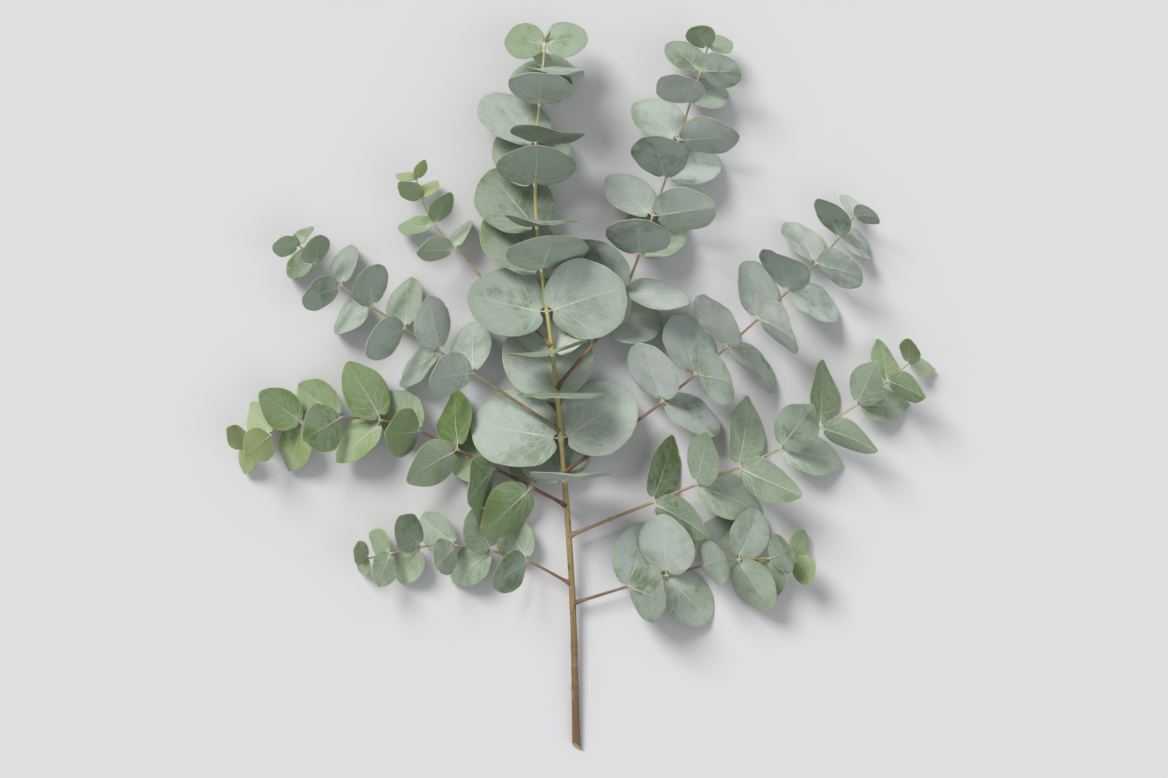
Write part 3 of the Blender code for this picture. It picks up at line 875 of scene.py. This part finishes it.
def drawNature(shoot, young, chance):
    # youth, wax, shade and frost of a blade
    facts = bladeColour
    fresher, spread = facts["youth"]
    youth = shoot["green"] + young * fresher + chance.uniform(-spread, spread)
    most, greenLoss, youngLoss = facts["wax"]
    wax = most - greenLoss * shoot["green"] - youngLoss * young + chance.uniform(*facts["waxChance"])
    share, loss = facts["worn"]
    if chance.random() < share:
        wax -= loss
    less, more = facts["frost"]
    frost = shoot["frost"] - less * young + chance.uniform(0.0, more)
    most, power = facts["shade"]
    shade = chance.uniform(0, most) ** power
    return within(youth), within(wax, facts["leastWax"]), shade, within(frost)


def fineOutline(leaf, angle):
    # the outline of the solid, with a narrower notch, so that the lobes close round the stem
    x, y = leaf.outline(angle)
    fromBase = math.pi - angle % math.tau
    fine = bladeShape["notchDepth"] * bump(fromBase, bladeShape["notch"])
    return x, y + leaf.lobe * (fine - bump(fromBase, bladeForm["notch"]))


def fineBlade(name, leaf, chance, shoot, young, shape):
    whims, detail = drawWhims(chance), bladeDetail
    small = min(1.0, leaf.length / detail["fullSize"])
    spots = []

    def move(point):
        angle, share = math.atan2(point.x, point.y), min(1.0, point.xy.length)
        angle += bladeShape["crowding"] * math.sin(angle)
        x, y = fineOutline(leaf, angle)
        coarse, fine = detail["edgeWaves"]
        edge = math.sin(coarse * angle + whims["edgePhase"])
        edge = whims["edgeSize"] * (edge + 0.5 * math.sin(fine * angle + 2 * whims["edgePhase"]))
        if whims["bite"] is not None:  # a small bite out of the margin
            depth, width = detail["bite"]
            edge -= depth * bump(angle - whims["bite"], width) * share**6
        share *= bladeShape["trim"] + edge * share**3
        x, y = x * share, leaf.middle + (y - leaf.middle) * share
        wave = whims["rimWave"] * small * share**4
        lift = wave * math.sin(whims["rimCount"] * angle + whims["rimPhase"])
        size, count = detail["ripple"]
        lift += size * wave * math.sin(count * whims["rimCount"] * angle) * math.cos(angle / 2) ** 2
        where, width = detail["lobe"]
        curl = whims["lobeCurl"][0 if angle > 0 else 1]
        lift += curl * leaf.length * share**3 * bump(math.pi - abs(angle) - where, width)
        depth, width = detail["groove"]
        groove = depth * small * bump(x, width * small) * (1 - share**4)
        spots.append((x / leaf.length + 0.5, y / leaf.length))
        return leaf.place(x, y, lift - groove)

    blade = wrapped(name, shape, move, finishes["leafBlade"], bladeShape["lowest"])
    layer = blade.data.uv_layers.new(name="blade")
    for loop, spot in zip(blade.data.loops, layer.data):
        spot.uv = spots[loop.vertex_index]
    shares = [min(1.0, vertex.co.xy.length) for vertex in shape.data.vertices]
    addNumbers(blade, "rim", "FLOAT", shares)
    nature = drawNature(shoot, young * shoot["tender"], chance)
    addNumbers(blade, "nature", "FLOAT_COLOR", [nature] * len(shares))
    return blade


def thicken(piece):
    # a sheet gets its wall, half on each side
    startPiece(piece)
    wall = piece.modifiers.new("wall", "SOLIDIFY")
    wall.thickness = bladeShape["thickness"] * mm
    wall.offset = 0
    bpy.ops.object.modifier_apply(modifier=wall.name)
    return piece


stalkShape = dict(
    foot=0.3,  # the share of its points that the free stalk takes
    ribEnd=0.86, bunching=1.15,  # where the midrib ends on the blade, and how its points are spaced
    sink=0.10, fullSize=40, ahead=0.02,
    thick=(0.52, 0.08), narrowing=1.6,  # at the stem and at the end
    flare=(0.35, 0.16),
)


def fineStalk(name, leaf, stemRadius):
    # the stalk runs from inside the stem into the blade, and on as its midrib
    facts = stalkShape
    start, foot = leaf.root, leaf.place(0, 0, 0)
    size = min(1.0, leaf.length / facts["fullSize"]) ** 0.5

    def spine(share):
        free = facts["foot"]
        if share < free:
            return start.lerp(foot, share / free)
        y = facts["ribEnd"] * leaf.length * ((share - free) / (1 - free)) ** facts["bunching"]
        return leaf.place(0, y, -facts["sink"] * size)

    def move(point):
        share = within(point.z)
        ahead, behind = spine(within(share + facts["ahead"])), spine(within(share - facts["ahead"]))
        along = (ahead - behind).normalized()
        side = along.cross(leaf.normal).normalized()
        thick, thin = facts["thick"]
        flare, reach = facts["flare"]
        out = size * (thick * (1 - share) ** facts["narrowing"] + thin)
        out += flare * stemRadius * max(0.0, 1 - share / reach) ** 2
        return spine(share) + out * (point.x * side + point.y * side.cross(along))

    return wrapped(name, stalkTube, move, finishes["leafStalk"])


def axilBud(name, stem, distance, outward, size):
    along = stem.axes(distance)[0]
    ahead, away = budShape["lean"]
    turn = (along * ahead + outward * away).normalized().to_track_quat("Z", "Y")
    out, above = budShape["seat"]
    foot = stem.at(distance) + outward * (stem.radius(distance) * out) + along * above
    return wrapped(name, plainBud, lambda point: foot + turn @ (point * size), finishes["axilBud"])


def finePair(name, shootName, stem, distance, leaves, young):
    chance = random.Random(name + " looks")
    shoot = shoots[shootName]
    blades = [fineBlade(name + "blade", leaf, chance, shoot, young, flatBlade) for leaf in leaves]
    pair = thicken(joined(name, blades))
    trim = []
    for leaf in leaves:
        trim.append(fineStalk(name + "stalk", leaf, stem.radius(distance)))
        if young < budShape["oldest"]:
            along = stem.axes(distance)[0]
            outward = (leaf.rib - leaf.rib.dot(along) * along).normalized()
            size = chance.uniform(*budShape["axil"])
            trim.append(axilBud(name + "bud", stem, distance, outward, size))
    return joined(name, [pair, *trim])


def finishPiece(piece, slotName, *nodes):
    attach(piece, "root")
    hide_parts(*nodes)


def growLeaves():
    for shootName, stem, pairs in plan:
        separate = len(pairs) - growth["tipPairs"]
        for k, (distance, leaves) in enumerate(pairs):
            young = math.exp(-k / growth["youngPairs"])
            if k < growth["tipPairs"]:
                node = f"{shootName}_stem"
                name = f"{shootName}_tip_pair_{k + 1}"
            else:
                node = f"{shootName}_leaf_pair_{separate - (k - growth['tipPairs'])}"
                name = node + "_fine"
            finishPiece(finePair(name, shootName, stem, distance, leaves, young), "leaf", node)
        print("leaf pairs made on", shootName)


stemDetail = dict(
    lowestScar=15, scarGap=(0.92, 1.08), scarTurn=0.15,
    joint=(1.7, 0.16, 0.10),  # width, swelling and its part that grows with the stem
    scar=(1.5, 0.05, 0.22),  # width, and how far the ring and the scar stand out
    scarFocus=5,
    wobble=(0.02, 5),  # size and length of the slow changes in thickness
    flat=(0.025, 30),  # how far from round, and over what length that turns
    spread=(0.9, 2.2, 2),  # how a side shoot's base widens into the main stem
    barkLength=10,
)


def shedScars(shootName, pairs):
    # where leaf pairs were shed, lower down: (distance, the side that one leaf was on)
    chance = random.Random(shootName + " scars")
    gap, turnChance = shoots[shootName]["gap"], stemDetail["scarTurn"]
    found, lowest, turn = [], pairs[-1][0] - gap, chance.uniform(0, math.pi)
    while lowest > stemDetail["lowestScar"]:
        found.append((lowest, turn))
        lowest -= gap * chance.uniform(*stemDetail["scarGap"])
        turn += math.pi / 2 + chance.uniform(-turnChance, turnChance)
    return found


def fineStem(shootName, stem, pairs):
    facts = stemDetail
    joints = [distance for distance, _ in pairs]
    scars = shedScars(shootName, pairs)
    grown, atJoint, atScar, barkSpots = [], [], [], []
    chance = random.Random(shootName + " bark")
    firstPhase, secondPhase = chance.uniform(0, math.tau), chance.uniform(0, math.tau)

    def move(point):
        distance = within(point.z) * stem.length
        _, level, upward = stem.axes(distance)
        angle = math.atan2(point.y, point.x)
        radius = stem.radius(distance)
        width, swell, swellMore = facts["joint"]
        near = max(bump(distance - joint, width) for joint in joints)
        width, ringOut, scarOut = facts["scar"]
        old, scar = 0.0, 0.0
        for where, side in scars:  # a scar on each side, under a slight swelling
            close = bump(distance - where, width)
            facing = abs(math.cos(angle - side)) ** facts["scarFocus"]
            old, scar = max(old, close), max(scar, close * facing)
        size, length = facts["wobble"]
        out = radius * (1 + size * math.sin(distance / length + firstPhase))
        out += near * (swell + swellMore * radius) + old * ringOut * radius + scar * scarOut
        size, length = facts["flat"]
        out += size * radius * math.sin(2 * angle + distance / length + secondPhase)
        if shootName != "main":
            size, length, start = facts["spread"]
            out += size * math.exp(-max(0.0, distance - start) / length)
        grown.append(point.z)
        atJoint.append(near)
        atScar.append(scar)
        barkSpots.append((math.cos(angle), math.sin(angle), distance / facts["barkLength"]))
        cap = min(1.0, math.hypot(point.x, point.y))
        return stem.at(distance) + aroundStem(angle, level, upward) * out * cap

    piece = wrapped(shootName + "_stem_fine", stemTube, move, finishes[shootName])
    for name, values in (("grown", grown), ("joint", atJoint), ("scar", atScar)):
        addNumbers(piece, name, "FLOAT", values)
    addNumbers(piece, "bark", "FLOAT_VECTOR", barkSpots)
    return piece


def scarBuds(shootName, stem, pairs):
    chance = random.Random(shootName + " dormant buds")
    buds = []
    for distance, turn in shedScars(shootName, pairs):
        _, level, upward = stem.axes(distance)
        for side in (turn, turn + math.pi):
            outward = aroundStem(side, level, upward)
            if chance.random() < budShape["dormantShare"]:
                size = chance.uniform(*budShape["dormant"])
                buds.append(axilBud("bud", stem, distance + 0.4, outward, size))
    return buds


cutEnd = dict(
    slant=30, upward=0.6, place=3.0, bark=0.3,
    rings=(("cutWood", 1.25, 0), ("pith", 0.2, 0.25)),  # finish, width and depth, from the bark in
)


def cutFace(piece):
    # a slanting cut: the end is sliced off, closed, and inset into bark, wood and pith
    startPiece(piece)
    slant = math.radians(cutEnd["slant"])
    spot = toRow(plan[0][1].at(cutEnd["place"]))
    normal = Vector((math.sin(slant), math.cos(slant), -cutEnd["upward"])).normalized()
    bpy.ops.object.mode_set(mode="EDIT")
    bpy.ops.mesh.select_all(action="SELECT")
    bpy.ops.mesh.bisect(plane_co=spot, plane_no=normal, use_fill=True, clear_inner=True)
    bpy.ops.mesh.select_all(action="SELECT")
    bpy.ops.mesh.normals_make_consistent(inside=False)
    chooseFaces(piece, lambda face: len(face.verts) > 8 and face.normal.dot(normal) < -0.8)
    bpy.ops.mesh.inset(thickness=cutEnd["bark"] * mm)
    for number, (finish, width, depth) in enumerate(cutEnd["rings"], 1):
        piece.data.materials.append(finishes[finish])
        piece.active_material_index = number
        bpy.ops.object.material_slot_assign()
        bpy.ops.mesh.inset(thickness=width * mm, depth=-depth * mm)
    bpy.ops.object.mode_set(mode="OBJECT")
    for polygon in piece.data.polygons:
        polygon.use_smooth = polygon.material_index == 0
    return piece


tipLeaves = dict(
    pairs=((7.5, 45, 24), (4.5, 135, 12)),  # length, roll and spread
    roll=10, size=(0.85, 1.1), aspect=0.42, point=0.6, reach=0.35, youth=4.0, stemRadius=0.4,
    below=1.2, sink=1.7,  # how far under the end of the stem, and into it, they start
)


def growingTip(shootName, stem):
    # two crossed pairs of tiny folded leaves round the end of the stem
    facts = tipLeaves
    chance = random.Random(shootName + " tip")
    along, level, upward = stem.axes(stem.length)
    root = stem.at(stem.length) - along * facts["below"]
    blades, stalks = [], []
    for size, roll, spread in facts["pairs"]:
        for side in (0, 180):
            angle = math.radians(roll + side + chance.uniform(-facts["roll"], facts["roll"]))
            length = size * chance.uniform(*facts["size"])
            leaf = Leaf(length, facts["aspect"], facts["point"], chance)
            radial = aroundStem(angle, level, upward)
            leaf.aim(root, radial, along, spread, 0.0, facts["reach"])
            leaf.stalkStart = leaf.stalkStart - leaf.rib * facts["sink"]
            leaf.setMatrix()
            shoot = shoots[shootName]
            blades.append(fineBlade("tipblade", leaf, chance, shoot, facts["youth"], tinyBlade))
            stalks.append(fineStalk("tipstalk", leaf, facts["stemRadius"]))
    return joined(shootName + "_growing_tip", [thicken(joined("tip", blades)), *stalks])


def growStems():
    for shootName, stem, pairs in plan:
        node = f"{shootName}_stem"
        piece = fineStem(shootName, stem, pairs)
        if shootName == "main":
            piece = joined(piece.name, [cutFace(piece), *scarBuds(shootName, stem, pairs)])
        finishPiece(piece, "bark" if shootName == "main" else "shoot_bark", node)
        finishPiece(growingTip(shootName, stem), "leaf", node)
    print("stems made:", len(plan))


growLeaves()
growStems()
for shape in (flatBlade, tinyBlade, stemTube, stalkTube, plainBud):
    bpy.data.objects.remove(shape, do_unlink=True)


studio = dict(
    floor=(0.625, 0.62, 0.635), floorDim=0.985, floorSize=8,
    world=(0.97, 0.98, 1.0), worldStrength=0.5,
    lights=(  # the side that it shines from, strength, softness in degrees, colour
        ((-0.75, 1.0, 1.25), 2.7, 26, (1.0, 0.985, 0.96)),
        ((1.0, -0.6, 1.3), 0.45, 50, (0.95, 0.97, 1.0)),
    ),
    lens=70, aspect=1168 / 778,
    viewHeight=0.475,  # how much of the surface the picture spans, up and down
    focusHeight=0.02,  # height over the surface that this is true for
)


def layFloor():
    startPiece()
    bpy.ops.mesh.primitive_plane_add(size=studio["floorSize"])
    floor = bpy.context.object
    floor.name = "floor"
    material, shader, place = newMaterial("paleSurface", 0.85, 0.2)
    dimmed = [part * studio["floorDim"] for part in studio["floor"]]
    tone = place.noise(3, 3.0).blend(dimmed, studio["floor"])
    feed(shader, "Base Color", tone)
    floor.data.materials.append(material)
    floor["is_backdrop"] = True


def setLights():
    world = bpy.data.worlds.new("studio")
    world.use_nodes = True
    background = world.node_tree.nodes["Background"]
    background.inputs["Color"].default_value = (*studio["world"], 1)
    background.inputs["Strength"].default_value = studio["worldStrength"]
    bpy.context.scene.world = world
    for number, (side, strength, softness, colour) in enumerate(studio["lights"], 1):
        lamp = bpy.data.lights.new(f"softLight{number}", "SUN")
        lamp.energy, lamp.color = strength, colour
        lamp.angle = math.radians(softness)
        holder = addObject(lamp.name, lamp)
        holder.location = side
        holder.rotation_euler = (-Vector(side)).to_track_quat("-Z", "Y").to_euler()


def setCamera():
    low, high = (Vector(corner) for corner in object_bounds())
    camera = bpy.data.cameras.new("camera")
    camera.lens = studio["lens"]
    holder = addObject("camera", camera)
    distance = studio["viewHeight"] * studio["aspect"] * camera.lens / camera.sensor_width
    holder.location = (low + high) / 2
    holder.location.z = distance + studio["focusHeight"]
    bpy.context.scene.camera = holder
    bpy.context.scene.view_settings.view_transform = "Standard"


layFloor()
setLights()
setCamera()

print("surface, light and camera set")
